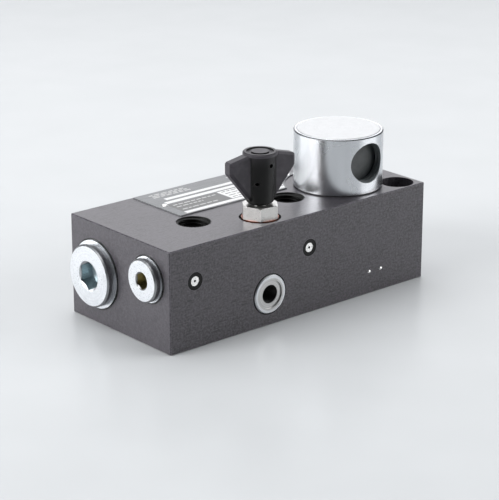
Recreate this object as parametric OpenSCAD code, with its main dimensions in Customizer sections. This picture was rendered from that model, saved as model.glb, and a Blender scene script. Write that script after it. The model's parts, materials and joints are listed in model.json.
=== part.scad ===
// Two-way solenoid valve in a flat steel block, with a check valve, a piston stage and a hand needle valve.
// Frame: origin at the middle of the block's underside, +X along the block away from the screw plugs,
// -Y towards the long side with the gauge port, +Z up. Millimetres.

/* [Block] */
// length of the valve block along X
block_l = 130; // [100:1:180]
// width of the valve block along Y
block_w = 60; // [45:1:80]
// height of the valve block
block_h = 40; // [30:1:55]
// chamfer on every edge of the block
block_chamfer = 0.4; // [0.2:0.1:1.5]

/* [Top ports] */
// wall radius of the two threaded ports, G 1/4
port_r = 6.58; // [4.9:0.01:8.4]
// full thread depth of the two ports
port_depth = 11; // [8:0.5:12]
// X of the inlet port
port_in_x = -36.1; // [-40:0.1:-30]
// X of the outlet port
port_out_x = 10.4; // [8:0.1:14]
// Y of the inlet port
port_in_y = -8.4; // [-10:0.1:-7]
// Y of the outlet port
port_out_y = -9.2; // [-10:0.1:-7]

/* [Solenoid] */
// X of the solenoid axis
sol_x = 37.2; // [30:0.1:42]
// Y of the solenoid axis
sol_y = -9.1; // [-12:0.1:0]
// outside radius of the solenoid can
can_r = 17.7; // [15:0.1:20]
// height of the can's rim above the underside of the block
can_top = 63.0; // [58:0.1:70]
// wall radius of the threaded cable entry, M16
entry_r = 8.0; // [6:0.1:10]
// height of the cable entry axis
entry_z = 52.6; // [50:0.1:54]

/* [Hand needle valve] */
// X of the needle valve axis
needle_x = -13.4; // [-20:0.1:-8]
// Y of the needle valve axis
needle_y = -20.2; // [-24:0.1:-16]
// width across the flats of the gland nut
gland_af = 13; // [10:0.5:17]
// radius swept by the wing tips of the knob
wing_tip_r = 14.5; // [12:0.1:20]
// thickness of each wing
wing_t = 4.8; // [2:0.1:6]
// heading of the wings, degrees from +X
wing_heading = 172; // [0:1:180]

/* [Screw plugs] */
// radius of the collar on the main plug, M20x1.5
main_collar_r = 12.2; // [11.5:0.1:13]
// radius of the collar on the check plug, M12x1.5
check_collar_r = 8.3; // [7.5:0.1:9]

/* [Type plate] */
// thickness of the type plate
plate_t = 0.4; // [0.2:0.1:1]

/* [Hidden] */

$fn = 96;
// left end face of the block, and its front face
end_x = -block_l / 2;
front_y = -block_w / 2;
// play between a screwed or pressed piece and its hole, and between a sliding piece and its bore
play = 0.03;
// a cutter runs this far past the face it opens in
over = 1;

// main bore: axis, and the X of its steps
main_y = 14.5;
main_z = 19.7;
main_thread_r = 10.05;
main_thread_end = -54.5;
main_bore_r = 8.5;
main_seat_back = -25;
main_drill_r = 5;
main_drill_end = 37;

// main piston: its back end, and the groove for its ring
piston_back = -50;
groove_x = [-47, -45];
groove_r = 7.4;

// bonded seal of the main plug: outside radius, thickness, and how far it stands out of its spot face
main_seal_r = 13.3;
main_seal_t = 1.0;
main_seal_out = 0.5;

// check bore: axis, and the X of its steps
check_y = -17.3;
check_z = 26.4;
check_thread_r = 6.05;
check_thread_end = -55.5;
check_bore_r = 4.6;
check_seat_back = -40;
check_drill_r = 2.25;
check_drill_end = -14;

// bonded seal of the check plug: outside radius, thickness, and how far it stands out of its spot face
check_seal_r = 8.8;
check_seal_t = 0.9;
check_seal_out = 0.4;

// gap between a seal and the wall of its spot face, and between a seal and the shank in it
seal_gap = 0.35;
seal_bore_gap = 0.2;

// the two cross drillings closed by expanders
cross_x = [-53.1, 3.2];
cross_z = [26.3, 26.5];
cross_r = 1.9;
expander_r = 3.5;
expander_pin_r = 1.85;
expander_len = 5;
sleeve_floor = 0.8;

// gauge port in the front face
gauge_x = -17;
gauge_z = 12.5;
gauge_bore_r = 6.63;
gauge_cbore_r = 8.1;
gauge_cbore_depth = 1.8;
gauge_bore_end = -18.5;
gauge_hole_r = 3.65;

// pilot drillings closed by balls
pilot_x = [35.4, 41.6];
pilot_z = 9;
pilot_r = 0.9;
ball_seat_r = 1.03;
ball_seat_depth = 2;
closing_ball_r = 1.0;
closing_ball_in = 0.75;

// fixing hole with a counterbore, M8
fix_x = 56.8;
fix_y = -22.6;
fix_r = 4.5;
fix_cbore_r = 6.7;
fix_cbore_depth = 8.5;

// four tapped holes in the underside, M6
foot_x = 48;
foot_y = 20;
foot_r = 2.5;
foot_depth = 9;

// needle valve heights
spot_depth = 1.2;
spot_r = 8.0;
washer_t = 1.5;
washer_r = 7.15;
washer_bore_r = 5.2;
gland_bottom = 31;
gland_top = 45.4;
needle_seat_z = 21;
spindle_r = 2.5;
spindle_top = 62.6;
knob_bottom = 46;
knob_top = 66;
hub_r = 5.2;
hub_top_r = 6.1;
knob_disc_r = 6.6;
pin_offset = 1.3;
pin_z = 61.2;
pin_r = 0.8;
wire_hole_offset = -3.7;
wire_hole_z = 54.4;
wire_hole_r = 0.75;

// solenoid radii and heights
tube_thread_r = 9.05;
tube_seat_z = 24;
pilot_bore_r = 5.5;
pilot_floor_z = 12;
gasket_t = 0.5;
can_bottom = block_h + gasket_t;
can_floor_top = can_bottom + 1.5;
cavity_r = 15.2;
cavity_flat = 13.4;
coil_flat = 12.6;
cover_step_z = 61.2;
cover_r = 16.6;
tube_r = 6.5;
tube_bore_r = 5.55;

// type plate outline and its rivets
plate_x0 = -36;
plate_x1 = 33;
plate_y0 = -0.6;
plate_y1 = 28.8;
plate_notch_r = 21.2;
rivet_at = [[-33, 12.9], [29.7, 12.4]];
rivet_r = 0.8;
rivet_len = 3;
rivet_head_r = 1.35;
rivet_dome_r = 1.8;
rivet_dome_sunk = 1.1;

// a bar along X from x0 to x1 at radius r, centred on (y, z)
module bar_x(x0, x1, r, y, z) {
    translate([x0, y, z])
        rotate([0, 90, 0])
            cylinder(h = x1 - x0, r = r);
}

// a bar along Y from y0 to y1 at radius r, centred on (x, z)
module bar_y(y0, y1, r, x, z) {
    translate([x, y0, z])
        rotate([-90, 0, 0])
            cylinder(h = y1 - y0, r = r);
}

// a cone along X from radius r0 at x0 to radius r1 at x1
module cone_x(x0, x1, r0, r1, y, z) {
    translate([x0, y, z])
        rotate([0, 90, 0])
            cylinder(h = x1 - x0, r1 = r0, r2 = r1);
}

// a rectangle with its four corners cut off
module cut_rect(a, b, c) {
    polygon([[-a / 2 + c, -b / 2], [a / 2 - c, -b / 2], [a / 2, -b / 2 + c], [a / 2, b / 2 - c],
        [a / 2 - c, b / 2], [-a / 2 + c, b / 2], [-a / 2, b / 2 - c], [-a / 2, -b / 2 + c]]);
}

// the raw bar with all twelve edges chamfered
module raw_block() {
    intersection() {
        linear_extrude(height = block_h)
            cut_rect(block_l, block_w, block_chamfer);
        translate([0, -front_y, block_h / 2])
            rotate([90, 0, 0])
                linear_extrude(height = block_w)
                    cut_rect(block_l, block_h, block_chamfer);
        translate([end_x, 0, block_h / 2])
            rotate([90, 0, 90])
                linear_extrude(height = block_l)
                    cut_rect(block_w, block_h, block_chamfer);
    }
}

// a tapped port: thread bore, drill point below it, small countersink at the mouth
module top_port(x, y) {
    point_h = 3.9;
    point_r = 0.3;
    sink = 0.3;
    sink_out = 0.18;
    translate([x, y, block_h - port_depth])
        cylinder(h = port_depth + over, r = port_r);
    translate([x, y, block_h - port_depth - point_h])
        cylinder(h = point_h, r1 = point_r, r2 = port_r);
    translate([x, y, block_h - sink])
        cylinder(h = sink + 0.01, r1 = port_r, r2 = port_r + sink_out);
}

// the main bore in three steps, with a spot face for the seal
module main_bore() {
    bar_x(end_x - over, end_x + main_seal_t - main_seal_out, main_seal_r + seal_gap, main_y, main_z);
    bar_x(end_x - over, main_thread_end, main_thread_r, main_y, main_z);
    bar_x(main_thread_end - over, main_seat_back, main_bore_r, main_y, main_z);
    bar_x(main_seat_back - over, main_drill_end, main_drill_r, main_y, main_z);
}

// the check bore in three steps, with a spot face for the seal
module check_bore() {
    bar_x(end_x - over, end_x + check_seal_t - check_seal_out, check_seal_r + seal_gap, check_y, check_z);
    bar_x(end_x - over, check_thread_end, check_thread_r, check_y, check_z);
    bar_x(check_thread_end - over, check_seat_back, check_bore_r, check_y, check_z);
    bar_x(check_seat_back - over, check_drill_end, check_drill_r, check_y, check_z);
}

// the hole for the needle valve: spot face, thread bore, chamber and seat drilling
module needle_bore() {
    gland_r = 5.05;
    gland_floor = 30;
    chamber_r = 2.9;
    seat_r = 1.2;
    translate([needle_x, needle_y, block_h - spot_depth])
        cylinder(h = spot_depth + over, r = spot_r);
    translate([needle_x, needle_y, gland_floor])
        cylinder(h = block_h - gland_floor, r = gland_r);
    translate([needle_x, needle_y, needle_seat_z])
        cylinder(h = block_h - needle_seat_z - over, r = chamber_r);
    translate([needle_x, needle_y, gauge_z])
        cylinder(h = needle_seat_z - gauge_z + over, r = seat_r);
}

// the hole under the solenoid, down to the pilot seat and the two drillings
module solenoid_bore() {
    centre_r = 1.5;
    riser_r = 1;
    translate([sol_x, sol_y, tube_seat_z])
        cylinder(h = block_h - tube_seat_z + over, r = tube_thread_r);
    translate([sol_x, sol_y, pilot_floor_z])
        cylinder(h = block_h - pilot_floor_z - over, r = pilot_bore_r);
    translate([sol_x, sol_y, pilot_z - over])
        cylinder(h = pilot_floor_z - pilot_z + 2 * over, r = centre_r);
    translate([pilot_x[1], sol_y, pilot_z - over])
        cylinder(h = pilot_floor_z - pilot_z + 2 * over, r = riser_r);
}

// cross drillings with the counterbores for the expanders
module cross_bores() {
    for (i = [0, 1]) {
        bar_y(front_y - over, front_y + expander_len, expander_r, cross_x[i], cross_z[i]);
        bar_y(front_y, main_y, cross_r, cross_x[i], cross_z[i]);
    }
}

// pilot drillings from the front face with a seat for each closing ball
module pilot_bores() {
    for (x = pilot_x) {
        bar_y(front_y - over, front_y + ball_seat_depth, ball_seat_r, x, pilot_z);
        bar_y(front_y, sol_y, pilot_r, x, pilot_z);
    }
}

// the gauge port bore with a counterbore for the adapter's flange
module gauge_bore() {
    bar_y(front_y - over, front_y + gauge_cbore_depth, gauge_cbore_r, gauge_x, gauge_z);
    bar_y(front_y - over, gauge_bore_end, gauge_bore_r, gauge_x, gauge_z);
}

// sloping drillings from the floors of the ports to the bores beside them
module sloping_bores() {
    start_z = 30.5;
    main_drill = 2.5;
    check_drill = 1.5;
    translate([port_in_x, port_in_y, start_z])
        rotate([-118, 0, 0])
            cylinder(h = 19, r = main_drill);
    translate([port_in_x, port_in_y, start_z - 1])
        rotate([112, 0, 0])
            cylinder(h = 9, r = check_drill);
    translate([port_out_x, port_out_y, start_z])
        rotate([-114, 0, 0])
            cylinder(h = 22, r = main_drill);
}

// the fixing hole and the four tapped holes in the underside
module fixing_bores() {
    translate([fix_x, fix_y, -over])
        cylinder(h = block_h + 2 * over, r = fix_r);
    translate([fix_x, fix_y, block_h - fix_cbore_depth])
        cylinder(h = fix_cbore_depth + over, r = fix_cbore_r);
    for (x = [-foot_x, foot_x])
        for (y = [-foot_y, foot_y])
            translate([x, y, -over])
                cylinder(h = foot_depth + over, r = foot_r);
}

// holes for the rivets of the type plate
module rivet_bores() {
    for (p = rivet_at)
        translate([p[0], p[1], block_h - rivet_len - 0.2])
            cylinder(h = rivet_len + 0.2 + over, r = rivet_r + play);
}

module valve_block() {
    color([0.26, 0.26, 0.28])
        difference() {
            raw_block();
            top_port(port_in_x, port_in_y);
            top_port(port_out_x, port_out_y);
            main_bore();
            check_bore();
            needle_bore();
            solenoid_bore();
            cross_bores();
            pilot_bores();
            gauge_bore();
            sloping_bores();
            fixing_bores();
            rivet_bores();
        }
}

// a hollow-hexagon screw plug lying along X with its collar outwards, drawn from the block's end face
module hex_plug(y, z, collar_r, collar_t, seal_out, shank_r, shank_len, af, socket, pocket_r, pocket) {
    bevel = 0.6;
    face_x = end_x - seal_out - collar_t;
    difference() {
        union() {
            cone_x(face_x, face_x + bevel, collar_r - bevel, collar_r, y, z);
            bar_x(face_x + bevel, end_x - seal_out, collar_r, y, z);
            bar_x(end_x - seal_out, end_x + shank_len - bevel, shank_r, y, z);
            cone_x(end_x + shank_len - bevel, end_x + shank_len, shank_r, shank_r - bevel, y, z);
        }
        translate([face_x - over, y, z])
            rotate([0, 90, 0])
                cylinder(h = socket + over, r = af / sqrt(3), $fn = 6);
        cone_x(face_x + socket - 0.01, face_x + socket + 1.2, af / 2 - 0.3, 0.3, y, z);
        cone_x(face_x - 0.01, face_x + 0.5, af / sqrt(3) + 0.1, af / 2, y, z);
        bar_x(end_x + shank_len - pocket, end_x + shank_len + over, pocket_r, y, z);
    }
}

module main_plug() {
    color([0.80, 0.82, 0.84])
        hex_plug(main_y, main_z, main_collar_r, 3.2, main_seal_out, 10.0, 10, 10, 5.6, 5.6, 5);
}

module main_plug_seal() {
    color([0.72, 0.74, 0.75])
        difference() {
            bar_x(end_x - main_seal_out, end_x + main_seal_t - main_seal_out, main_seal_r, main_y, main_z);
            bar_x(end_x - 2, end_x + over, main_thread_r + seal_bore_gap, main_y, main_z);
        }
}

module check_plug() {
    color([0.80, 0.82, 0.84])
        hex_plug(check_y, check_z, check_collar_r, 2.7, check_seal_out, 6.0, 9, 6, 4.3, 3.1, 3);
}

module check_plug_seal() {
    color([0.72, 0.74, 0.75])
        difference() {
            bar_x(end_x - check_seal_out, end_x + check_seal_t - check_seal_out, check_seal_r,
                check_y, check_z);
            bar_x(end_x - 2, end_x + over, check_thread_r + seal_bore_gap, check_y, check_z);
        }
}

// piston of the main stage: guide, waist and conical nose, with a spring cup and a fine orifice
module main_piston() {
    waist_x = -40;
    nose_x = -32.03;
    nose_end = -29.03;
    waist_r = 6;
    nose_r = 3;
    cup_end = -42;
    cup_r = 5.6;
    orifice_r = 0.5;
    color([0.62, 0.63, 0.65])
        difference() {
            union() {
                bar_x(piston_back, waist_x, main_bore_r - play - 0.01, main_y, main_z);
                bar_x(waist_x, nose_x, waist_r, main_y, main_z);
                cone_x(nose_x, nose_end, waist_r, nose_r, main_y, main_z);
            }
            bar_x(piston_back - over, cup_end, cup_r, main_y, main_z);
            bar_x(cup_end - over, nose_end + over, orifice_r, main_y, main_z);
            difference() {
                bar_x(groove_x[0], groove_x[1], main_bore_r + over, main_y, main_z);
                bar_x(groove_x[0] - over, groove_x[1] + over, groove_r, main_y, main_z);
            }
        }
}

module main_piston_ring() {
    side_play = 0.05;
    color([0.45, 0.33, 0.22])
        difference() {
            bar_x(groove_x[0] + side_play, groove_x[1] - side_play, main_bore_r - play, main_y, main_z);
            bar_x(groove_x[0] - over, groove_x[1] + over, groove_r + side_play, main_y, main_z);
        }
}

// a helical spring of round wire along +Z with ground ends, from z = 0 to len
module helix(mid_r, wire_r, turns, len) {
    lead = len / turns;
    slope = atan(lead / (2 * PI * mid_r));
    spread = wire_r / sin(slope) / mid_r * 180 / PI;
    points = 12;
    outline = [for (k = [0 : points - 1])
        let (a = 360 * k / points, r = mid_r + wire_r * cos(a), t = spread * sin(a))
            [r * cos(t), r * sin(t)]];
    linear_extrude(height = len, twist = -360 * turns, slices = 12 * turns, $fn = points)
        polygon(outline);
}

module main_piston_spring() {
    color([0.55, 0.56, 0.58])
        translate([-60, main_y, main_z])
            rotate([0, 90, 0])
                helix(4.6, 0.6, 5, 18);
}

module main_seat() {
    color([0.58, 0.59, 0.61])
        difference() {
            bar_x(-30, main_seat_back, main_bore_r - play, main_y, main_z);
            bar_x(-31, main_seat_back + over, 4, main_y, main_z);
        }
}

// poppet of the check valve: guide with a spring cup, waist with cross hole, conical nose
module check_poppet() {
    color([0.62, 0.63, 0.65])
        difference() {
            union() {
                bar_x(-52, -46.5, check_bore_r - play - 0.01, check_y, check_z);
                bar_x(-46.5, -44.63, 3.4, check_y, check_z);
                cone_x(-44.63, -42.23, 3.4, 1, check_y, check_z);
            }
            bar_x(-53, -47, 3, check_y, check_z);
            bar_x(-48, -45.4, 0.8, check_y, check_z);
            bar_y(check_y - 6, check_y + 6, 0.7, -45.55, check_z);
        }
}

module check_spring() {
    color([0.55, 0.56, 0.58])
        translate([-59, check_y, check_z])
            rotate([0, 90, 0])
                helix(2.4, 0.35, 6, 12);
}

module check_seat() {
    color([0.58, 0.59, 0.61])
        difference() {
            bar_x(-43, check_seat_back, check_bore_r - play, check_y, check_z);
            bar_x(-44, check_seat_back + over, 1.8, check_y, check_z);
        }
}

// reducing adapter in the gauge port: proud flange, stepped recess and a small tapped hole
module gauge_port_adapter() {
    flange_r = 7.65;
    flange_bevel = 0.4;
    step_r = 5.6;
    step_depth = 0.5;
    proud = 0.6;
    color([0.76, 0.78, 0.79])
        difference() {
            union() {
                bar_y(front_y - proud + flange_bevel, front_y + 1.78, flange_r, gauge_x, gauge_z);
                translate([gauge_x, front_y - proud + flange_bevel, gauge_z])
                    rotate([90, 0, 0])
                        cylinder(h = flange_bevel, r1 = flange_r, r2 = flange_r - flange_bevel);
                bar_y(front_y, -22.5, gauge_bore_r - play, gauge_x, gauge_z);
            }
            bar_y(front_y - over, -22, gauge_hole_r, gauge_x, gauge_z);
            bar_y(front_y - over, front_y - proud + step_depth, step_r, gauge_x, gauge_z);
            bar_y(-24, -21, gauge_hole_r, gauge_x, gauge_z);
            difference() {
                bar_y(-25.5, -24.1, 8, gauge_x, gauge_z);
                bar_y(-26, -23, 5.4, gauge_x, gauge_z);
            }
        }
}

module adapter_oring() {
    color([0.06, 0.06, 0.06])
        translate([gauge_x, -24.8, gauge_z])
            rotate([90, 0, 0])
                rotate_extrude()
                    translate([6.01, 0])
                        circle(r = 0.58, $fn = 32);
}

module expander_sleeves() {
    color([0.14, 0.14, 0.15])
        for (i = [0, 1])
            difference() {
                bar_y(front_y + 0.1, front_y + expander_len, expander_r - play, cross_x[i], cross_z[i]);
                bar_y(front_y - over, front_y + expander_len - sleeve_floor, expander_pin_r + play,
                    cross_x[i], cross_z[i]);
            }
}

module expander_pins() {
    color([0.86, 0.87, 0.88])
        for (i = [0, 1])
            difference() {
                bar_y(front_y + 0.2, front_y + expander_len - sleeve_floor, expander_pin_r,
                    cross_x[i], cross_z[i]);
                bar_y(front_y - over, front_y + 1, 0.35, cross_x[i], cross_z[i]);
            }
}

module sealing_balls() {
    color([0.86, 0.87, 0.88])
        for (x = pilot_x)
            translate([x, front_y + closing_ball_in, pilot_z])
                sphere(r = closing_ball_r);
}

// thin plate beside the solenoid, hollowed on the corner that faces the can
module type_plate() {
    color([0.55, 0.56, 0.58])
        difference() {
            translate([plate_x0, plate_y0, block_h])
                cube([plate_x1 - plate_x0, plate_y1 - plate_y0, plate_t]);
            translate([sol_x, sol_y, block_h - over])
                cylinder(h = plate_t + 2 * over, r = plate_notch_r);
            for (p = rivet_at)
                translate([p[0], p[1], block_h - over])
                    cylinder(h = plate_t + 2 * over, r = rivet_r + 0.05);
        }
}

module plate_rivets() {
    color([0.80, 0.80, 0.82])
        for (p = rivet_at)
            translate([p[0], p[1], block_h]) {
                translate([0, 0, -rivet_len])
                    cylinder(h = rivet_len + plate_t + 0.01, r = rivet_r);
                intersection() {
                    translate([0, 0, plate_t])
                        cylinder(h = 1, r = rivet_head_r);
                    translate([0, 0, plate_t - rivet_dome_sunk])
                        sphere(r = rivet_dome_r);
                }
            }
}

module copper_washer() {
    color([0.72, 0.40, 0.26])
        translate([needle_x, needle_y, block_h - spot_depth])
            difference() {
                cylinder(h = washer_t, r = washer_r);
                translate([0, 0, -over])
                    cylinder(h = washer_t + 2 * over, r = washer_bore_r);
            }
}

// gland nut: threaded shank, hexagon with a chamfered top, bore for the spindle
module spindle_gland_nut() {
    hex_bottom = block_h - spot_depth + washer_t;
    hex_h = gland_top - hex_bottom;
    hex_heading = 52;
    color([0.80, 0.82, 0.84])
        translate([needle_x, needle_y, 0])
            difference() {
                union() {
                    translate([0, 0, gland_bottom])
                        cylinder(h = hex_bottom - gland_bottom, r = 5.0);
                    intersection() {
                        translate([0, 0, hex_bottom])
                            rotate([0, 0, hex_heading])
                                cylinder(h = hex_h, r = gland_af / sqrt(3), $fn = 6);
                        union() {
                            translate([0, 0, hex_bottom])
                                cylinder(h = hex_h - 0.6, r = gland_af);
                            translate([0, 0, gland_top - 0.6])
                                cylinder(h = 0.6, r1 = gland_af / 2 + 1.2, r2 = gland_af / 2 + 0.1);
                        }
                    }
                }
                translate([0, 0, gland_bottom - over])
                    cylinder(h = gland_top - gland_bottom + 2 * over, r = spindle_r + 0.05);
                translate([0, 0, gland_bottom - over])
                    cylinder(h = 7, r = 3.1);
            }
}

module spindle_oring() {
    color([0.06, 0.06, 0.06])
        translate([needle_x, needle_y, 33.5])
            rotate_extrude()
                translate([2.4, 0])
                    circle(r = 0.67, $fn = 32);
}

// a small cross hole or pin through the hub, square to the wings
module across_hub(r, offset, z, half_len) {
    rotate([0, 0, wing_heading - 180])
        translate([offset, -half_len, z])
            rotate([-90, 0, 0])
                cylinder(h = 2 * half_len, r = r, $fn = 48);
}

module needle_spindle() {
    tip_z = 20.5;
    tip_h = 2.5;
    tip_r = 0.85;
    groove_z = 32.6;
    groove_h = 1.8;
    groove_floor_r = 1.68;
    body_z = tip_z + tip_h;
    color([0.70, 0.71, 0.73])
        translate([needle_x, needle_y, 0])
            difference() {
                union() {
                    translate([0, 0, tip_z])
                        cylinder(h = tip_h, r1 = tip_r, r2 = spindle_r - 0.05);
                    translate([0, 0, body_z])
                        cylinder(h = groove_z - body_z, r = spindle_r - 0.05);
                    translate([0, 0, groove_z])
                        cylinder(h = groove_h, r = groove_floor_r);
                    translate([0, 0, groove_z + groove_h])
                        cylinder(h = spindle_top - groove_z - groove_h, r = spindle_r);
                }
                across_hub(pin_r + 0.02, pin_offset, pin_z, 4);
            }
}

// one wing: a flat fin with chamfered edges, drawn out along +X
module wing() {
    flat_t = wing_t - 1.6;
    root_z = knob_bottom + 0.8;
    tip_low = 58.5;
    tip_high = 63.5;
    shoulder_z = 65.3;
    outer = [[1, root_z], [4.4, root_z], [5.4, root_z + 0.6], [wing_tip_r - 0.3, tip_low],
        [wing_tip_r, tip_low + 0.6], [wing_tip_r, tip_high - 0.6], [wing_tip_r - 0.5, tip_high],
        [hub_top_r, shoulder_z], [1, shoulder_z]];
    inner = [[1, root_z + 0.8], [4.2, root_z + 0.8], [wing_tip_r - 1.3, tip_low + 0.8],
        [wing_tip_r - 0.9, tip_low + 1.2], [wing_tip_r - 0.9, tip_high - 1.1],
        [wing_tip_r - 1.2, tip_high - 0.8], [hub_top_r, shoulder_z - 0.8], [1, shoulder_z - 0.8]];
    hull() {
        translate([0, flat_t / 2, 0])
            rotate([90, 0, 0])
                linear_extrude(height = flat_t)
                    polygon(outer);
        translate([0, wing_t / 2, 0])
            rotate([90, 0, 0])
                linear_extrude(height = wing_t)
                    polygon(inner);
    }
}

// knob: hub with a wider dished top, two wings, a blind bore for the spindle
module wing_knob() {
    foot_h = 0.6;
    disc_z = 64.7;
    disc_bevel = 0.5;
    color([0.05, 0.05, 0.055])
        translate([needle_x, needle_y, 0])
            difference() {
                union() {
                    translate([0, 0, knob_bottom])
                        cylinder(h = foot_h, r1 = hub_r - 0.5, r2 = hub_r);
                    translate([0, 0, knob_bottom + foot_h])
                        cylinder(h = disc_z - knob_bottom - foot_h, r1 = hub_r, r2 = hub_top_r);
                    translate([0, 0, disc_z])
                        cylinder(h = knob_top - disc_z - disc_bevel, r = knob_disc_r);
                    translate([0, 0, knob_top - disc_bevel])
                        cylinder(h = disc_bevel, r1 = knob_disc_r, r2 = knob_disc_r - disc_bevel);
                    for (a = [0, 180])
                        rotate([0, 0, wing_heading + a])
                            wing();
                }
                translate([0, 0, knob_bottom - over])
                    cylinder(h = spindle_top + 0.2 - knob_bottom + over, r = spindle_r + 0.02);
                difference() {
                    translate([0, 0, knob_top - 0.6])
                        cylinder(h = over, r = 5.2);
                    translate([0, 0, knob_top - over])
                        cylinder(h = over, r = 3.4);
                }
                across_hub(pin_r + 0.02, pin_offset, pin_z, 8);
                across_hub(wire_hole_r, wire_hole_offset, wire_hole_z, 8);
            }
}

module knob_pin() {
    color([0.12, 0.12, 0.12])
        translate([needle_x, needle_y, 0])
            difference() {
                across_hub(pin_r, pin_offset, pin_z, 4);
                across_hub(0.35, pin_offset, pin_z, 6);
            }
}

module solenoid_gasket() {
    color([0.05, 0.05, 0.05])
        translate([sol_x, sol_y, block_h])
            difference() {
                cylinder(h = gasket_t, r = 17.2);
                translate([0, 0, -over])
                    cylinder(h = gasket_t + 2 * over, r = 9.3);
            }
}

// round can with a floor, a flat inside behind the cable entry, and a step for the cover
module solenoid_housing() {
    rim_bevel = 0.4;
    color([0.78, 0.80, 0.83])
        translate([sol_x, sol_y, 0])
            difference() {
                union() {
                    translate([0, 0, can_bottom])
                        cylinder(h = can_top - can_bottom - rim_bevel, r = can_r);
                    translate([0, 0, can_top - rim_bevel])
                        cylinder(h = rim_bevel, r1 = can_r, r2 = can_r - rim_bevel);
                }
                difference() {
                    translate([0, 0, can_floor_top])
                        cylinder(h = can_top, r = cavity_r);
                    translate([-20, -40 - cavity_flat, 40])
                        cube([40, 40, cover_step_z - 40]);
                }
                translate([0, 0, cover_step_z])
                    cylinder(h = 10, r = cover_r);
                translate([0, 0, can_bottom - over])
                    cylinder(h = 10, r = tube_r + 0.1);
                bar_y(-20, -10, entry_r, 0, entry_z);
            }
}

module solenoid_cover() {
    bevel = 0.3;
    color([0.86, 0.88, 0.90])
        translate([sol_x, sol_y, cover_step_z]) {
            cylinder(h = 2.0 - bevel, r = cover_r - play);
            translate([0, 0, 2.0 - bevel])
                cylinder(h = bevel, r1 = cover_r - play, r2 = cover_r - play - bevel);
        }
}

// moulded body round the winding, with a flat behind the cable entry
module coil_body() {
    color([0.16, 0.18, 0.17])
        translate([sol_x, sol_y, can_floor_top + 0.1])
            difference() {
                cylinder(h = 18.9, r = cavity_r - 0.1);
                translate([0, 0, -over])
                    cylinder(h = 21, r = 11.25);
                translate([-20, -40 - coil_flat, -over])
                    cube([40, 40, 21]);
            }
}

module coil_bobbin() {
    color([0.20, 0.21, 0.20])
        translate([sol_x, sol_y, can_floor_top + 0.1])
            difference() {
                union() {
                    cylinder(h = 18.9, r = 7.4);
                    cylinder(h = 1.2, r = 11.2);
                    translate([0, 0, 17.7])
                        cylinder(h = 1.2, r = 11.2);
                }
                translate([0, 0, -over])
                    cylinder(h = 21, r = tube_r + 0.1);
            }
}

module coil_winding() {
    color([0.70, 0.38, 0.20])
        translate([sol_x, sol_y, can_floor_top + 1.35])
            difference() {
                cylinder(h = 16.4, r = 11.1);
                translate([0, 0, -over])
                    cylinder(h = 19, r = 7.43);
            }
}

// pressure tube: threaded foot in the block, thin tube for the armature above it
module armature_tube() {
    foot_top = 40.3;
    color([0.66, 0.67, 0.69])
        translate([sol_x, sol_y, 0])
            difference() {
                union() {
                    translate([0, 0, tube_seat_z + 0.5])
                        cylinder(h = foot_top - tube_seat_z - 0.5, r = tube_thread_r - 0.05);
                    translate([0, 0, foot_top])
                        cylinder(h = 60.4 - foot_top, r = tube_r);
                    translate([0, 0, tube_seat_z])
                        cylinder(h = 1, r = 6.3);
                }
                translate([0, 0, 32])
                    cylinder(h = 30, r = tube_bore_r);
                translate([0, 0, 20])
                    cylinder(h = 14, r = 2);
                difference() {
                    translate([0, 0, tube_seat_z + 0.4])
                        cylinder(h = 1.1, r = 8.1);
                    translate([0, 0, tube_seat_z])
                        cylinder(h = 2, r = 6.3);
                }
            }
}

module tube_oring() {
    color([0.06, 0.06, 0.06])
        translate([sol_x, sol_y, tube_seat_z + 0.74])
            rotate_extrude()
                translate([7.1, 0])
                    circle(r = 0.7, $fn = 32);
}

module pole_piece() {
    color([0.60, 0.61, 0.63])
        translate([sol_x, sol_y, 0])
            difference() {
                translate([0, 0, 51.3])
                    cylinder(h = 9.1, r = tube_bore_r - play);
                translate([0, 0, 50])
                    cylinder(h = 6, r = 2.6);
            }
}

// armature with a spring pocket on top, a pin hole below and two flats' worth of vent hole
module armature() {
    color([0.60, 0.61, 0.63])
        translate([sol_x, sol_y, 0])
            difference() {
                translate([0, 0, 33])
                    cylinder(h = 16, r = tube_bore_r - 0.05);
                translate([0, 0, 42])
                    cylinder(h = 8, r = 2.6);
                translate([0, 0, 32])
                    cylinder(h = 4.1, r = 1.22);
                translate([3.9, 0, 32])
                    cylinder(h = 18, r = 0.7);
            }
}

module push_pin() {
    color([0.70, 0.71, 0.73])
        translate([sol_x, sol_y, 21.28])
            cylinder(h = 14.8, r = 1.2);
}

module armature_spring() {
    color([0.55, 0.56, 0.58])
        translate([sol_x, sol_y, 42])
            helix(2.0, 0.35, 6, 14);
}

module pilot_ball() {
    color([0.80, 0.80, 0.82])
        translate([sol_x, sol_y, 19.46])
            sphere(r = 1.8);
}

module pilot_seat() {
    color([0.58, 0.59, 0.61])
        translate([sol_x, sol_y, pilot_floor_z])
            difference() {
                cylinder(h = 6, r = pilot_bore_r - play);
                translate([0, 0, -over])
                    cylinder(h = 8, r = 1.1);
                translate([pilot_x[1] - sol_x - 0.6, 0, -over])
                    cylinder(h = 8, r = 0.9);
            }
}

valve_block();
main_plug();
main_plug_seal();
main_piston();
main_piston_ring();
main_piston_spring();
main_seat();
check_plug();
check_plug_seal();
check_poppet();
check_spring();
check_seat();
gauge_port_adapter();
adapter_oring();
expander_sleeves();
expander_pins();
sealing_balls();
type_plate();
plate_rivets();
copper_washer();
spindle_gland_nut();
spindle_oring();
needle_spindle();
wing_knob();
knob_pin();
solenoid_gasket();
solenoid_housing();
solenoid_cover();
coil_body();
coil_bobbin();
coil_winding();
armature_tube();
tube_oring();
pole_piece();
armature();
push_pin();
armature_spring();
pilot_ball();
pilot_seat();
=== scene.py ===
import json
import math
import random

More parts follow.
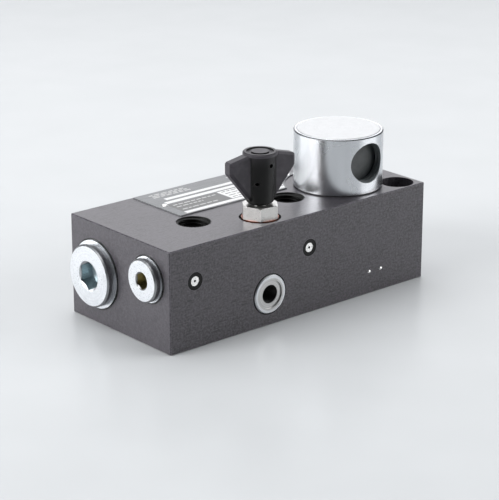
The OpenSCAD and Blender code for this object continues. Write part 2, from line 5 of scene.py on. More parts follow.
import bpy
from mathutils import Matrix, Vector


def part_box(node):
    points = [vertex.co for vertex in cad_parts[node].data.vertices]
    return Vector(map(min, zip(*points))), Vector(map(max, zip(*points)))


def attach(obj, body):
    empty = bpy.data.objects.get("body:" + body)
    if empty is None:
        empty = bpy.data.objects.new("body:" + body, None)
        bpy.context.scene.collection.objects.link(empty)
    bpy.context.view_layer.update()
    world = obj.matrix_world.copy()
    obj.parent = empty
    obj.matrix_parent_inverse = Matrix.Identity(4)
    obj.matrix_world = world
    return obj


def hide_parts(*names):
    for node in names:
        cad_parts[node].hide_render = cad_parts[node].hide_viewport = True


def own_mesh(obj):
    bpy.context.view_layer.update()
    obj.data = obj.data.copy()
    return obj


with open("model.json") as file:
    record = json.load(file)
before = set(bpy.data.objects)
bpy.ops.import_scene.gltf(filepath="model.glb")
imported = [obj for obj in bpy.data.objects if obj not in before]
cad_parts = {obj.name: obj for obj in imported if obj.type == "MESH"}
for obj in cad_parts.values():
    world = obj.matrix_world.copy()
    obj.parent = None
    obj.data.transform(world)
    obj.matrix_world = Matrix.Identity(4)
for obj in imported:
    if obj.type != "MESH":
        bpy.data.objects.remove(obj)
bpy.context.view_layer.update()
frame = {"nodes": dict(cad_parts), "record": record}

NODES = frame["nodes"]
RECORD = frame["record"]
MOUNTS = {m["name"]: m for m in RECORD["mounts"]}
SLOT_OF = {s["node"]: s["material_slot"] for s in RECORD["subparts"]}
MM = 0.001
random.seed(11)


# ---------------------------------------------------------------- materials

class Finish:
    """One procedural material. All patterns use object coordinates in millimetres."""

    def __init__(self, name):
        self.material = bpy.data.materials.new(name)
        self.material.use_nodes = True
        self.tree = self.material.node_tree
        self.shader = self.tree.nodes["Principled BSDF"]
        coords = self.tree.nodes.new("ShaderNodeTexCoord")
        to_mm = self.tree.nodes.new("ShaderNodeVectorMath")
        to_mm.operation = "SCALE"
        to_mm.inputs["Scale"].default_value = 1 / MM
        self.join(coords.outputs["Object"], to_mm.inputs[0])
        self.place = to_mm.outputs[0]
        self.height = None

    def join(self, source, target):
        self.tree.links.new(source, target)

    def put(self, value, target):
        if isinstance(value, bpy.types.NodeSocket):
            self.join(value, target)
        else:
            target.default_value = value

    def sum(self, kind, a, b=0.0):
        node = self.tree.nodes.new("ShaderNodeMath")
        node.operation = kind
        self.put(a, node.inputs[0])
        self.put(b, node.inputs[1])
        return node.outputs[0]

    def moved(self, offset=(0, 0, 0), scale=(1, 1, 1), turn=(0, 0, 0)):
        node = self.tree.nodes.new("ShaderNodeMapping")
        node.inputs["Location"].default_value = offset
        node.inputs["Rotation"].default_value = turn
        node.inputs["Scale"].default_value = scale
        self.join(self.place, node.inputs["Vector"])
        return node.outputs[0]

    def noise(self, scale, detail=4, rough=0.6, stretch=(1, 1, 1), turn=(0, 0, 0)):
        node = self.tree.nodes.new("ShaderNodeTexNoise")
        node.inputs["Scale"].default_value = scale
        node.inputs["Detail"].default_value = detail
        node.inputs["Roughness"].default_value = rough
        self.join(self.moved(scale=stretch, turn=turn), node.inputs["Vector"])
        return node.outputs["Fac"]

    def from_axis(self, centre, axis):
        """Distance from a line along the axis through centre, both in mm."""
        split = self.tree.nodes.new("ShaderNodeSeparateXYZ")
        shift = self.moved(offset=[-c for c in centre])
        self.join(shift, split.inputs[0])
        across = [split.outputs[i] for i in range(3) if i != axis]
        squares = [self.sum("MULTIPLY", a, a) for a in across]
        return self.sum("SQRT", self.sum("ADD", *squares))

    def off_plane(self, centre, axis):
        """Distance from the plane through centre and square to the axis, in mm."""
        split = self.tree.nodes.new("ShaderNodeSeparateXYZ")
        self.join(self.moved(offset=[-c for c in centre]), split.inputs[0])
        return self.sum("ABSOLUTE", split.outputs[axis])

    def turned(self, centre, axis, per_mm=1.6, detail=1):
        """Tool rings of a turned face: noise that changes only with the radius."""
        node = self.tree.nodes.new("ShaderNodeTexNoise")
        node.noise_dimensions = "1D"
        node.inputs["Scale"].default_value = per_mm
        node.inputs["Detail"].default_value = detail
        self.join(self.from_axis(centre, axis), node.inputs["W"])
        return node.outputs["Fac"]

    def spread(self, value, low, high, out_low=0.0, out_high=1.0):
        node = self.tree.nodes.new("ShaderNodeMapRange")
        node.clamp = True
        self.put(value, node.inputs["Value"])
        node.inputs["From Min"].default_value = low
        node.inputs["From Max"].default_value = high
        node.inputs["To Min"].default_value = out_low
        node.inputs["To Max"].default_value = out_high
        return node.outputs["Result"]

    def mix(self, share, a, b):
        node = self.tree.nodes.new("ShaderNodeMix")
        node.data_type = "RGBA"
        self.put(share, node.inputs["Factor"])
        self.put(a, node.inputs[6])
        self.put(b, node.inputs[7])
        return node.outputs[2]

    def facing(self, axis):
        """1 on faces square to the axis, 0 on the others."""
        geometry = self.tree.nodes.new("ShaderNodeNewGeometry")
        split = self.tree.nodes.new("ShaderNodeSeparateXYZ")
        self.join(geometry.outputs["True Normal"], split.inputs[0])
        size = self.sum("ABSOLUTE", split.outputs[axis])
        return self.spread(size, 0.85, 0.95)

    def edge_wear_and_highlight(self, radius_mm, low=0.02, high=0.25):
        """1 along sharp edges, from the rounded normal against the true one; the paler colour there is
        part wear and part painted highlight.
        """
        rounded = self.tree.nodes.new("ShaderNodeBevel")
        rounded.samples = 4
        rounded.inputs["Radius"].default_value = radius_mm * MM
        geometry = self.tree.nodes.new("ShaderNodeNewGeometry")
        dot = self.tree.nodes.new("ShaderNodeVectorMath")
        dot.operation = "DOT_PRODUCT"
        self.join(rounded.outputs[0], dot.inputs[0])
        self.join(geometry.outputs["True Normal"], dot.inputs[1])
        away = self.sum("SUBTRACT", 1.0, dot.outputs["Value"])
        return self.spread(away, low, high)

    def bump(self, value, depth_mm, strength=1.0):
        node = self.tree.nodes.new("ShaderNodeBump")
        node.inputs["Strength"].default_value = strength
        node.inputs["Distance"].default_value = depth_mm * MM
        self.join(value, node.inputs["Height"])
        if self.height is not None:
            self.join(self.height, node.inputs["Normal"])
        self.height = node.outputs[0]
        self.join(self.height, self.shader.inputs["Normal"])

    def finish(self, colour, roughness, metallic=0.0, ior=1.5):
        self.put(colour, self.shader.inputs["Base Color"])
        self.put(roughness, self.shader.inputs["Roughness"])
        self.put(metallic, self.shader.inputs["Metallic"])
        self.shader.inputs["IOR"].default_value = ior
        return self.material


def grey(level, tint=(1.0, 1.0, 1.0)):
    return tuple(level * t for t in tint) + (1.0,)


ALONG_X, ALONG_Y, ALONG_Z = 0, 1, 2
BLUISH = (0.975, 1.0, 1.035)
OXIDE = (1.03, 0.945, 1.10)
STEEL = (1.0, 0.995, 0.985)


def centre_of(node):
    low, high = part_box(node)
    return [(a + b) / 2 / MM for a, b in zip(low, high)]


def block_finish():
    """Dark oiled steel: fine mottle, milling strokes along X, smoother brushed ends, with painted
    shade on the front and back faces and painted shadow rings round the seals, washer and adapter.
    """
    f = Finish("block_steel")
    mottle = f.noise(1.1, 3, 0.7)
    cloud = f.noise(0.10, 3, 0.5)
    strokes = f.noise(1.0, 2, 0.6, stretch=(0.22, 2.0, 2.2))
    feed = f.noise(1.0, 3, 0.6, stretch=(0.10, 2.6, 3.0))
    brushed = f.noise(1.0, 4, 0.6, stretch=(1.0, 0.14, 1.8), turn=(0.7, 0, 0))
    lines = f.mix(f.facing(ALONG_X), feed, brushed)
    base = f.mix(f.spread(mottle, 0.38, 0.62), grey(0.018, OXIDE), grey(0.098, OXIDE))
    base = f.mix(f.spread(cloud, 0.35, 0.7, 0.0, 0.4), base, grey(0.078, OXIDE))
    base = f.mix(f.spread(strokes, 0.56, 0.66, 0.0, 0.75), base, grey(0.008, OXIDE))
    base = f.mix(f.spread(lines, 0.54, 0.72, 0.0, 0.35), base, grey(0.10, OXIDE))
    # painted shade: the faces square to Y are darkened towards black
    base = f.mix(f.facing(ALONG_Y), base, f.mix(0.27, base, grey(0.0)))
    base = f.mix(f.facing(ALONG_X), base, f.mix(0.55, base, grey(0.060, OXIDE)))
    # paler edges: part wear, part painted edge highlight
    base = f.mix(f.edge_wear_and_highlight(0.5, 0.02, 0.2), base, grey(0.13, OXIDE))
    # painted shadow: a near-black ring on the block round each seal, the washer and the adapter,
    # reaching past the real gap
    for node, axis, shadow_width_mm in (("main_plug_seal", ALONG_X, 0.70), ("check_plug_seal", ALONG_X, 0.65),
                            ("copper_washer", ALONG_Z, 0.95), ("gauge_port_adapter", ALONG_Y, 0.55)):
        low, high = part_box(node)
        radius = (high[(axis + 1) % 3] - low[(axis + 1) % 3]) / 2 / MM + shadow_width_mm
        reach = (high[axis] - low[axis]) / 2 / MM + 0.3
        gap_shadow_mask = f.sum("MULTIPLY", f.spread(f.from_axis(centre_of(node), axis), radius, radius - 0.05),
                       f.spread(f.off_plane(centre_of(node), axis), reach + 0.05, reach))
        base = f.mix(gap_shadow_mask, base, grey(0.006))
    f.bump(mottle, 0.020, 0.8)
    f.bump(lines, 0.014, 0.5)
    return f.finish(base, f.spread(mottle, 0.3, 0.7, 0.28, 0.44), 0.35, ior=1.65)


def plated(name, level, rough, centres, tint=BLUISH, rings=0.004, ring_marks=0.0, socket=None,
           wall=None, inner=None):
    """Bright plating with tool rings round each (centre, axis) and a light cloud.

    socket is (centre, radius, face, tint) of a key socket sunk along X, darker and tinted inside.
    wall is (axis, level) for walls round a bright face, painted darker as painted shade; inner is
    (centre, axis, radius, level) for a darker middle.
    """
    f = Finish(name)
    cloud = f.noise(0.35, 4, 0.55)
    haze = f.noise(2.5, 4, 0.6)
    base = f.mix(f.spread(cloud, 0.35, 0.7), grey(level * 0.93, tint), grey(level, tint))
    # paler edges: part wear, part painted edge highlight
    base = f.mix(f.edge_wear_and_highlight(0.35, 0.05, 0.4), base, grey(min(level * 1.06, 0.97), tint))
    for centre, axis in centres:
        marks = f.turned(centre, axis)
        if rings:
            f.bump(marks, rings, 0.5)
        base = f.mix(f.spread(marks, 0.5, 0.62, 0.0, ring_marks), base, grey(level * 0.45, tint))
    # painted shade: faces not square to the wall axis get a much darker colour than the bright face of
    # the same plating
    if wall:
        base = f.mix(f.facing(wall[0]), grey(wall[1], tint), base)
    if inner:
        centre, axis, radius, dull = inner
        middle = f.spread(f.from_axis(centre, axis), radius, radius - 0.2)
        base = f.mix(middle, base, f.mix(f.turned(centre, axis), grey(dull * 0.5), grey(dull * 1.5)))
    if socket:
        centre, radius, face, socket_inside_tone = socket
        split = f.tree.nodes.new("ShaderNodeSeparateXYZ")
        f.join(f.place, split.inputs[0])
        inside = f.sum("MULTIPLY", f.spread(split.outputs[0], face + 0.5, face + 1.0),
                       f.spread(f.from_axis(centre, ALONG_X), radius + 0.1, radius))
        base = f.mix(inside, base, socket_inside_tone)
    roughness = f.mix(f.spread(haze, 0.35, 0.65), grey(rough * 0.88), grey(rough * 1.15))
    return f.finish(base, roughness, 1.0)


def can_finish():
    """Plated can: soft vertical streaks, with painted shade darkening the rolled edge under the rim.
    """
    f = Finish("can_plate")
    streak = f.noise(1.0, 1, 0.5, stretch=(0.7, 0.7, 0.03))
    cloud = f.noise(0.12, 1, 0.5)
    upright = f.tree.nodes.new("ShaderNodeSeparateXYZ")
    geometry = f.tree.nodes.new("ShaderNodeNewGeometry")
    f.join(geometry.outputs["True Normal"], upright.inputs[0])
    tilt = f.sum("ABSOLUTE", upright.outputs[2])
    # painted shade: the sloping faces of the rolled edge under the rim are darkened
    rolled = f.sum("MULTIPLY", f.spread(tilt, 0.2, 0.4), f.spread(tilt, 0.95, 0.8))
    base = f.mix(f.spread(streak, 0.35, 0.65), grey(0.66, BLUISH), grey(0.70, BLUISH))
    base = f.mix(rolled, base, grey(0.16, BLUISH))
    return f.finish(base, f.spread(cloud, 0.3, 0.7, 0.25, 0.28), 1.0)


def knob_finish():
    """Black moulding: the hub stays glossy and is painted near black as painted shade, the wings and
    the top are painted paler as painted light.
    """
    f = Finish("knob_plastic")
    grained = f.noise(3.5, 5, 0.6)
    cloud = f.noise(0.35, 3, 0.5)
    axis_place = [(a + b) / 2 / MM for a, b in zip(*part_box("needle_spindle"))]
    hub_r, fillet = 5.9, 0.6
    on_wing = f.spread(f.from_axis(axis_place, ALONG_Z), hub_r, hub_r + fillet)
    # painted light: paler colour on the wings and the top, near black on the hub as painted shade
    painted_light_mask = f.sum("MAXIMUM", on_wing, f.facing(ALONG_Z))
    painted_lit_tone = f.mix(f.spread(cloud, 0.35, 0.7), grey(0.036, OXIDE), grey(0.052, OXIDE))
    base = f.mix(painted_light_mask, grey(0.003), painted_lit_tone)
    # paler edges: part wear, part painted edge highlight
    base = f.mix(f.edge_wear_and_highlight(0.4, 0.05, 0.4), base, grey(0.05))
    f.bump(grained, 0.02, 0.4)
    return f.finish(base, f.spread(grained, 0.3, 0.7, 0.36, 0.5), 0.0, ior=1.32)


def plain_metal(name, low, high, rough, tint, grain=3.0):
    """Unplated metal inside the valve or a small bright part."""
    f = Finish(name)
    grained = f.noise(grain, 5, 0.65)
    streak = f.noise(1.0, 3, 0.6, stretch=(2.5, 2.5, 0.3))
    base = f.mix(f.spread(grained, 0.35, 0.68), grey(low, tint), grey(high, tint))
    f.bump(streak, 0.004, 0.4)
    f.bump(grained, 0.003, 0.4)
    return f.finish(base, f.spread(streak, 0.3, 0.7, rough * 0.8, rough * 1.25), 1.0)


def moulded(name, low, high, rough, grain=5.0, depth=0.012, tint=(1, 1, 1), ior=1.5):
    """Moulded plastic or rubber with a fine grain and paler edges, part wear and part painted
    highlight.
    """
    f = Finish(name)
    grained = f.noise(grain, 5, 0.6)
    cloud = f.noise(0.35, 3, 0.5)
    base = f.mix(f.spread(cloud, 0.35, 0.7), grey(low, tint), grey(high, tint))
    # paler edges: part wear, part painted edge highlight
    base = f.mix(f.edge_wear_and_highlight(0.4, 0.05, 0.4), base, grey(high * 1.8, tint))
    f.bump(grained, depth, 0.4)
    return f.finish(base, f.spread(grained, 0.3, 0.7, rough * 0.85, rough * 1.15),
                    0.0, ior)


MAIN_PLUG = (centre_of("main_plug"), ALONG_X)
CHECK_PLUG = (centre_of("check_plug"), ALONG_X)
CAN = (centre_of("solenoid_housing"), ALONG_Z)


def pin_finish():
    """Bright expander pins with a black dot painted in the middle of each, as painted shade of a
    centre hollow.
    """
    f = Finish("expander_pin_steel")
    pin_r, dimple_r = 1.85, 0.45
    low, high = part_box("expander_pins")
    ends = [(low.x / MM + pin_r, 0, low.z / MM + pin_r), (high.x / MM - pin_r, 0, high.z / MM - pin_r)]
    grained = f.noise(3.0, 4, 0.6)
    base = f.mix(f.spread(grained, 0.35, 0.68), grey(0.62, STEEL), grey(0.78, STEEL))
    # painted shade: a near-black dot at each pin's centre stands for the shade in a hollow
    for end in ends:
        painted_dimple_shade = f.spread(f.from_axis(end, ALONG_Y), dimple_r + 0.08, dimple_r)
        base = f.mix(painted_dimple_shade, base, grey(0.004))
    f.bump(grained, 0.003, 0.3)
    return f.finish(base, f.spread(grained, 0.3, 0.7, 0.24, 0.34), 1.0)


def plug_finish():
    """The two end plugs turn about different lines, so each gets its own rings."""
    main_face, check_face = (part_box(n)[0].x / MM for n in ("main_plug", "check_plug"))
    return {
        "main_plug": plated(
            "zinc_main_plug", 0.80, 0.30, [MAIN_PLUG], rings=0, ring_marks=0.10,
            wall=(ALONG_X, 0.30),
            socket=(MAIN_PLUG[0], 5.8, main_face, grey(0.50, (0.86, 1.0, 1.05)))),
        "check_plug": plated(
            "zinc_check_plug", 0.80, 0.30, [CHECK_PLUG], rings=0, ring_marks=0.10,
            wall=(ALONG_X, 0.30),
            socket=(CHECK_PLUG[0], 3.5, check_face, grey(0.30, (1.0, 0.92, 0.60)))),
        "gauge_port_adapter": plated(
            "zinc_adapter", 0.60, 0.34, [(centre_of("gauge_port_adapter"), ALONG_Y)],
            rings=0, ring_marks=0.5, inner=(centre_of("gauge_port_adapter"), ALONG_Y, 6.5, 0.38)),
        "expander_pins": pin_finish(),
        "expander_sleeves": moulded("expander_black", 0.004, 0.010, 0.5, ior=1.25),
        "spindle_gland_nut": plated(
            "zinc_gland", 0.52, 0.30, [(centre_of("spindle_gland_nut"), ALONG_Z)],
            tint=(1.0, 0.985, 0.96)),
    }


def plate_finish():
    """Rolled foil plate: fine lines along its length."""
    f = Finish("plate_foil")
    rolled = f.noise(1.0, 4, 0.6, stretch=(0.12, 5.0, 1.0))
    speck = f.noise(4.0, 3, 0.6)
    base = f.mix(f.spread(rolled, 0.35, 0.65), grey(0.15, BLUISH), grey(0.22, BLUISH))
    f.bump(rolled, 0.004, 0.5)
    return f.finish(base, f.spread(speck, 0.3, 0.7, 0.34, 0.5), 0.6)


def ink_finish(name, level, rough):
    """Screen-printed ink: slightly uneven coverage."""
    f = Finish(name)
    cover = f.noise(7.0, 4, 0.6)
    base = f.mix(f.spread(cover, 0.3, 0.7), grey(level * 0.9), grey(level))
    f.bump(cover, 0.004, 0.3)
    return f.finish(base, f.spread(cover, 0.3, 0.7, rough, rough + 0.12))


BY_SLOT = {
    "block_steel": block_finish(),
    "seal_ring": plated("seal_ring", 0.88, 0.30, []),
    "hard_steel": plain_metal("hard_steel", 0.40, 0.52, 0.25, STEEL),
    "bright_steel": plain_metal("bright_steel", 0.70, 0.82, 0.22, STEEL),
    "black_steel": plain_metal("black_steel", 0.016, 0.034, 0.42, STEEL),
    "spring_steel": plain_metal("spring_steel", 0.32, 0.45, 0.28, STEEL),
    "bronze_ptfe": moulded("bronze_ptfe", 0.14, 0.20, 0.5, tint=(1.0, 0.72, 0.42)),
    "rubber_black": moulded("rubber_black", 0.012, 0.022, 0.55),
    "plate_print": plate_finish(),
    # the copper is darker than bare copper: painted shade for the washer, which sits in shadow under
    # the hex nut
    "copper": plain_metal("copper", 0.18, 0.30, 0.36, (1.0, 0.40, 0.28)),
    "knob_plastic": knob_finish(),
    "can_plate": can_finish(),
    "cover_plate": plated("cover_plate", 0.56, 0.36, [CAN], tint=(0.99, 1.0, 1.01),
                          rings=0, ring_marks=0.12),
    "coil_mould": moulded("coil_mould", 0.024, 0.036, 0.42, tint=(0.86, 1.0, 1.05)),
    "bobbin_plastic": moulded("bobbin_plastic", 0.05, 0.07, 0.5, grain=7.0),
    "enamel_wire": plain_metal("enamel_wire", 0.38, 0.52, 0.3, (1.0, 0.45, 0.18)),
}
OWN_FINISH = plug_finish()


def paint(obj, material):
    obj.data.materials.clear()
    obj.data.materials.append(material)


for node_name, node_object in NODES.items():
    paint(node_object, OWN_FINISH.get(node_name) or BY_SLOT[SLOT_OF[node_name]])


# ---------------------------------------------------------------- detail pieces

def make_piece(name, points, faces, body, materials, face_material=None, smooth=True):
    """A mesh piece in the shared frame, from points in mm, riding on a CAD body."""
    mesh = bpy.data.meshes.new(name)
    mesh.from_pydata([Vector(p) * MM for p in points], [], faces)
    for material in materials:
        mesh.materials.append(material)
    mesh.polygons.foreach_set("use_smooth", [smooth] * len(faces))
    if face_material:
        mesh.polygons.foreach_set("material_index", face_material)
    mesh.validate()
    mesh.update()
    obj = bpy.data.objects.new(name, mesh)
    bpy.context.scene.collection.objects.link(obj)
    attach(obj, body)
    return obj


def across(axis):
    """Two unit directions square to an axis direction, right-handed with it."""
    axis = Vector(axis)
    helper = Vector((0, 0, 1)) if abs(axis.z) < 0.5 else Vector((1, 0, 0))
    u = helper.cross(axis).normalized()
    return u, axis.cross(u)


def swept(rings):
    """Points and faces of a tube through rings of equal point count, closed at both ends."""
    count = len(rings[0])
    points = [p for ring in rings for p in ring]
    faces = []
    for i in range(len(rings) - 1):
        for k in range(count):
            n = (k + 1) % count
            a, b = i * count, (i + 1) * count
            faces.append((a + k, a + n, b + n, b + k))
    last = (len(rings) - 1) * count
    faces.append(tuple(reversed(range(count))))
    faces.append(tuple(last + k for k in range(count)))
    return points, faces


def threaded_liner(name, origin, axis, length, root_r, crest_r, pitch, material,
                   mouth_cut=None):
    """Inner wall of a tapped hole, from its floor at origin out along the axis.

    The inside follows a helix of full thread depth, with a lead-in at both ends; the
    outside lies just under the hole's own wall. mouth_cut(across_u, across_v) shortens
    the liner where the hole breaks out of a curved surface.
    """
    round_steps, steps_per_turn = 72, 10
    rows = max(12, int(length / pitch * steps_per_turn))
    u, v = across(axis)
    axis, origin = Vector(axis), Vector(origin)
    outside_r = root_r + 0.04
    rings = []
    for i in range(rows + 1):
        ring = []
        for k in range(round_steps):
            share = k / round_steps
            out = u * math.cos(2 * math.pi * share) + v * math.sin(2 * math.pi * share)
            reach = length
            if mouth_cut:
                reach -= mouth_cut(out * root_r)
            along = reach * i / rows
            wave = (along / pitch - share) % 1.0
            flank = min(1.0, max(0.0, abs(2 * wave - 1) * 1.4 - 0.2))
            lead = min(1.0, along / (0.5 * pitch), (reach - along) / (0.5 * pitch))
            radius = root_r - 0.02 - (root_r - crest_r) * (1 - flank) * max(0.0, lead)
            ring.append(origin + out * radius + axis * along)
        rings.append(ring)
    for end in (rows, 0):
        rings.append([p + (p - origin - axis * (p - origin).dot(axis)).normalized()
                      * (outside_r - (p - origin - axis * (p - origin).dot(axis)).length)
                      for p in rings[end]])
    points = [p for ring in rings for p in ring]
    faces = []
    for i in range(len(rings)):
        a, b = i * round_steps, ((i + 1) % len(rings)) * round_steps
        for k in range(round_steps):
            n = (k + 1) % round_steps
            faces.append((a + n, a + k, b + k, b + n))
    return make_piece(name, points, faces, "block", [material])


def wire_spring(name, start, end, centre, axis, mid_r, wire_r, turns):
    """Coil spring of round wire with its last turns closed on each end."""
    sides, steps = 12, 36
    u, v = across(axis)
    axis, centre = Vector(axis), Vector(centre)
    closed = 0.8
    total = int(steps * (turns + 2 * closed))
    length = end - start
    wire = 2 * wire_r
    rings, along_all = [], []
    for i in range(total + 1):
        turn = i / steps
        if turn < closed:
            along = wire_r + wire * turn
        elif turn > turns + closed:
            along = length - wire_r - wire * (turns + 2 * closed - turn)
        else:
            share = (turn - closed) / turns
            low, high = wire_r + wire * closed, length - wire_r - wire * closed
            along = low + (high - low) * share
        along_all.append(along)
        angle = 2 * math.pi * turn
        out = u * math.cos(angle) + v * math.sin(angle)
        middle = centre + axis * (start + along) + out * mid_r
        ring = []
        for k in range(sides):
            a = 2 * math.pi * k / sides
            ring.append(middle + out * (wire_r * math.cos(a)) + axis * (wire_r * math.sin(a)))
        rings.append(ring)
    points, faces = swept(rings)
    return make_piece(name, points, faces, "block",
                      [BY_SLOT["spring_steel"]])


def wall_of(mount_name):
    """Floor point, direction and length of a port mount's wall, in mm."""
    mount = MOUNTS[mount_name]
    axis = Vector(mount["axis"])
    length = mount["dims"]["length_mm"]
    floor_point = Vector(mount["pos_m"]) / MM - axis * (length / 2)
    return floor_point, axis, length


def tapped(mount_name, crest_r, pitch, material, short=0.3):
    floor_point, axis, length = wall_of(mount_name)
    threaded_liner(mount_name + "_thread", floor_point, axis, length - short,
                   MOUNTS[mount_name]["dims"]["r_mm"], crest_r, pitch, material)


tapped("inlet_port", 5.75, 1.337, BY_SLOT["black_steel"])
tapped("outlet_port", 5.75, 1.337, BY_SLOT["black_steel"])
tapped("gauge_port", 3.2, 1.0, BY_SLOT["black_steel"])


def cable_insert():
    """Threaded insert of the cable entry, moulded with the coil, flush with the round can."""
    entry = MOUNTS["cable_entry"]
    can_low, can_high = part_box("solenoid_housing")
    coil_low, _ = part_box("coil_body")
    can_r = (can_high.x - can_low.x) / 2 / MM
    centre_y = (can_low.y + can_high.y) / 2 / MM
    x, z = entry["pos_m"][0] / MM, entry["pos_m"][2] / MM
    coil_y = coil_low.y / MM
    length = coil_y - (centre_y - can_r) - 0.12

    def behind_the_can(out):
        return can_r - math.sqrt(can_r * can_r - out.x * out.x)

    threaded_liner("cable_entry_thread", (x, coil_y - 0.02, z), (0, -1, 0), length,
                   entry["dims"]["r_mm"], 7.5, 1.5,
                   moulded("coil_thread", 0.06, 0.085, 0.45, tint=(0.86, 1.0, 1.05)),
                   behind_the_can)


cable_insert()


def box_mm(node):
    low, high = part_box(node)
    return Vector(low) / MM, Vector(high) / MM


MAIN_SPRING_LOW, MAIN_SPRING_HIGH = box_mm("main_piston_spring")
CHECK_SPRING_LOW, CHECK_SPRING_HIGH = box_mm("check_spring")
ARMATURE_SPRING_LOW, ARMATURE_SPRING_HIGH = box_mm("armature_spring")
main_spring = wire_spring(
    "main_piston_spring_wire", MAIN_SPRING_LOW.x, MAIN_SPRING_HIGH.x,
    (0, centre_of("main_piston_spring")[1], centre_of("main_piston_spring")[2]),
    (1, 0, 0), 4.6, 0.6, 4.0)
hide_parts("main_piston_spring")
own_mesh(main_spring)
check_spring = wire_spring(
    "check_spring_wire", CHECK_SPRING_LOW.x, CHECK_SPRING_HIGH.x,
    (0, centre_of("check_spring")[1], centre_of("check_spring")[2]),
    (1, 0, 0), 2.4, 0.35, 5.0)
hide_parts("check_spring")
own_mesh(check_spring)
armature_spring = wire_spring(
    "armature_spring_wire", ARMATURE_SPRING_LOW.z, ARMATURE_SPRING_HIGH.z,
    (centre_of("armature_spring")[0], centre_of("armature_spring")[1], 0),
    (0, 0, 1), 2.0, 0.35, 5.0)
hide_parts("armature_spring")
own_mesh(armature_spring)


# print on the type plate: bars, rules and a dark panel, with nothing to read
PLATE_LOW, PLATE_HIGH = box_mm("type_plate")
CAN_CENTRE = centre_of("solenoid_housing")
NOTCH_R = 21.2
PRINT_T = 0.03
WHITE, DARK, PALE = 0, 1, 2


def notch_edge(y):
    """How far right the print may run at this y: the plate's end or its notch."""
    rise = NOTCH_R + 0.5
    over = rise * rise - (y - CAN_CENTRE[1]) ** 2
    limit = PLATE_HIGH.x - 0.6
    return limit if over <= 0 else min(limit, CAN_CENTRE[0] - math.sqrt(over))


def print_bar(points, faces, inks, x0, x1, y0, y1, ink, lift=0.0):
    """One printed area as a thin solid whose right end follows the plate's edge."""
    rows = 8
    base = PLATE_HIGH.z + lift
    left, right = [], []
    for i in range(rows + 1):
        y = y0 + (y1 - y0) * i / rows
        left.append((x0, y))
        right.append((min(x1, notch_edge(y)), y))
    if min(p[0] for p in right) <= x0 + 0.3:
        return
    outline = left[::-1] + right
    start = len(points)
    points.extend((x, y, base - 0.01) for x, y in outline)
    points.extend((x, y, base + PRINT_T) for x, y in outline)
    count = len(outline)
    faces.append(tuple(start + k for k in reversed(range(count))))
    faces.append(tuple(start + count + k for k in range(count)))
    for k in range(count):
        n = (k + 1) % count
        faces.append((start + k, start + n, start + count + n, start + count + k))
    inks.extend([ink] * (count + 2))


def type_plate_print():
    points, faces, inks = [], [], []

    def bar(x0, x1, y0, y1, ink, lift=0.0):
        print_bar(points, faces, inks, x0, x1, y0, y1, ink, lift)

    # rules and fields
    bar(-28.0, 32.0, 17.7, 19.9, WHITE)
    bar(-30.9, 32.0, 13.7, 16.0, WHITE)
    bar(-7.2, 24.0, 3.0, 12.7, WHITE)
    bar(-32.0, 26.0, 0.2, 2.4, WHITE)
    bar(-32.0, -7.7, 3.0, 12.7, DARK)
    # pale rows on the dark panel
    for y, x_end in ((10.4, -9.5), (8.0, -17.5), (4.5, -13.0)):
        x = -30.5
        while x < x_end:
            width = random.uniform(1.2, 3.0)
            bar(x, min(x + width, x_end), y, y + 0.8, PALE, PRINT_T)
            x += width + 0.6
    # grey rows on the white field
    for y in (11.2, 8.8, 6.4, 4.2):
        x = -5.8
        while x < 22.0:
            width = random.uniform(1.5, 3.6)
            bar(x, x + width, y, y + 0.55, DARK, PRINT_T)
            x += width + 0.7
    # short bars across the head of the plate
    for y, first, last in ((25.4, -30.5, -13.0), (23.9, -30.0, -12.5), (22.4, -30.5, -12.0),
                           (24.6, 8.0, 26.0), (23.0, 9.0, 24.0)):
        x = first
        while x < last:
            width = random.uniform(1.6, 3.4)
            bar(x, min(x + width, last), y, y + 0.9, PALE)
            x += width + 0.7
    return make_piece("type_plate_print", points, faces, "block",
                      [ink_finish("ink_white", 0.70, 0.42), ink_finish("ink_dark", 0.10, 0.34),
                       ink_finish("ink_pale", 0.45, 0.36)], inks, smooth=False)


type_plate_print()


# ---------------------------------------------------------------- floor, lights, camera

YAW, PITCH = math.radians(40.777), math.radians(19.300)
FORWARD = Vector((math.sin(YAW) * math.cos(PITCH), math.cos(YAW) * math.cos(PITCH),
                  -math.sin(PITCH)))
AWAY = Vector((math.sin(YAW), math.cos(YAW), 0))
CAMERA_PLACE = Vector((-0.47946, -0.55455, 0.27499))
LENS_MM, SENSOR_MM = 142.46, 36.0


def floor_finish():
    """Plain pale satin sweep, barely uneven."""
    f = Finish("floor")
    cloud = f.noise(0.02, 2, 0.5)
    cool = (0.975, 1.0, 1.02)
    base = f.mix(f.spread(cloud, 0.3, 0.7), grey(0.50, cool), grey(0.52, cool))
    return f.finish(base, f.spread(cloud, 0.3, 0.7, 0.25, 0.27), 0.0, ior=1.21)


def floor():
    """A flat sheet that sweeps up in a quarter round far behind the object."""
    reach, flat_end, curve, high, steps = 3.0, 1.6, 0.6, 1.6, 12
    profile = [(-reach, 0.0), (flat_end, 0.0)]
    for i in range(1, steps + 1):
        a = math.pi / 2 * i / steps
        profile.append((flat_end + curve * math.sin(a), curve * (1 - math.cos(a))))
    profile.append((flat_end + curve, high))
    side = Vector((AWAY.y, -AWAY.x, 0))
    points, faces = [], []
    for along, z in profile:
        for s in (-reach, reach):
            p = AWAY * along + side * s
            points.append((p.x, p.y, z))
    for i in range(len(profile) - 1):
        faces.append((2 * i, 2 * i + 1, 2 * i + 3, 2 * i + 2))
    mesh = bpy.data.meshes.new("floor")
    mesh.from_pydata(points, [], faces)
    mesh.polygons.foreach_set("use_smooth", [True] * len(faces))
    mesh.materials.append(floor_finish())
    obj = bpy.data.objects.new("floor", mesh)
    bpy.context.scene.collection.objects.link(obj)


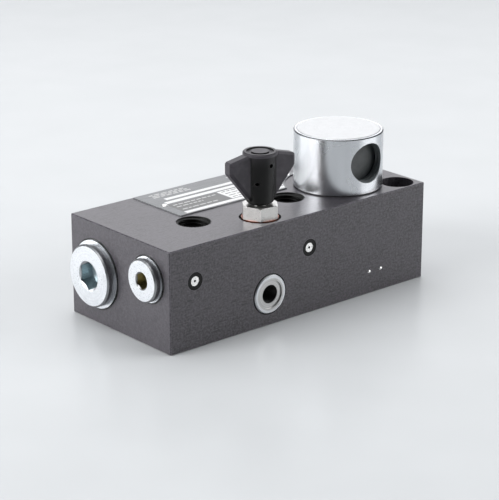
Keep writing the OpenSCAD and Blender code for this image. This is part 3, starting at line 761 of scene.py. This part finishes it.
def area_light(name, place, target, size, power, colour=(1, 1, 1)):
    lamp = bpy.data.lights.new(name, "AREA")
    lamp.shape = "RECTANGLE"
    lamp.size, lamp.size_y = size
    lamp.energy = power
    lamp.color = colour
    obj = bpy.data.objects.new(name, lamp)
    bpy.context.scene.collection.objects.link(obj)
    obj.location = place
    obj.rotation_euler = (Vector(target) - Vector(place)).to_track_quat("-Z", "Y").to_euler()
    obj.visible_camera = False


def studio_world():
    """Soft grey room, brighter beyond the object than behind the camera."""
    world = bpy.data.worlds.new("studio")
    world.use_nodes = True
    tree = world.node_tree
    sky = tree.nodes["Background"]
    coords = tree.nodes.new("ShaderNodeTexCoord")
    dot = tree.nodes.new("ShaderNodeVectorMath")
    dot.operation = "DOT_PRODUCT"
    dot.inputs[1].default_value = AWAY
    tree.links.new(coords.outputs["Generated"], dot.inputs[0])
    span = tree.nodes.new("ShaderNodeMapRange")
    span.inputs["From Min"].default_value = -1.0
    span.inputs["From Max"].default_value = 1.0
    span.inputs["To Min"].default_value = 0.07
    span.inputs["To Max"].default_value = 0.62
    tree.links.new(dot.outputs["Value"], span.inputs["Value"])
    sky.inputs["Color"].default_value = (0.735, 0.78, 0.83, 1)
    tree.links.new(span.outputs["Result"], sky.inputs["Strength"])
    bpy.context.scene.world = world


def lights():
    area_light("top", (0.10, 0.25, 0.95), (0, 0, 0), (1.1, 1.1), 8.5)
    area_light("back", tuple(AWAY * 1.35 + Vector((0, 0, 0.55))), (0, 0, 0.05),
               (1.5, 0.7), 5.4, (0.98, 0.98, 1.0))
    area_light("left", (-1.0, 0.25, 0.42), (0, 0, 0.03), (0.6, 0.7), 12.0)
    area_light("left_back", (-0.80, 0.92, 0.16), (-0.05, 0, 0.03), (0.9, 0.5), 9.0)
    area_light("right", (0.62, -0.60, 0.31), (0.02, 0, 0.03), (0.8, 0.52), 6.8)


def camera():
    data = bpy.data.cameras.new("camera")
    data.sensor_width = SENSOR_MM
    data.lens = LENS_MM
    data.clip_start, data.clip_end = 0.05, 20.0
    obj = bpy.data.objects.new("camera", data)
    bpy.context.scene.collection.objects.link(obj)
    obj.location = CAMERA_PLACE
    obj.rotation_mode = "QUATERNION"
    obj.rotation_quaternion = FORWARD.to_track_quat("-Z", "Y")
    bpy.context.scene.camera = obj


floor()
studio_world()
lights()
camera()
bpy.context.scene.view_settings.view_transform = "Standard"
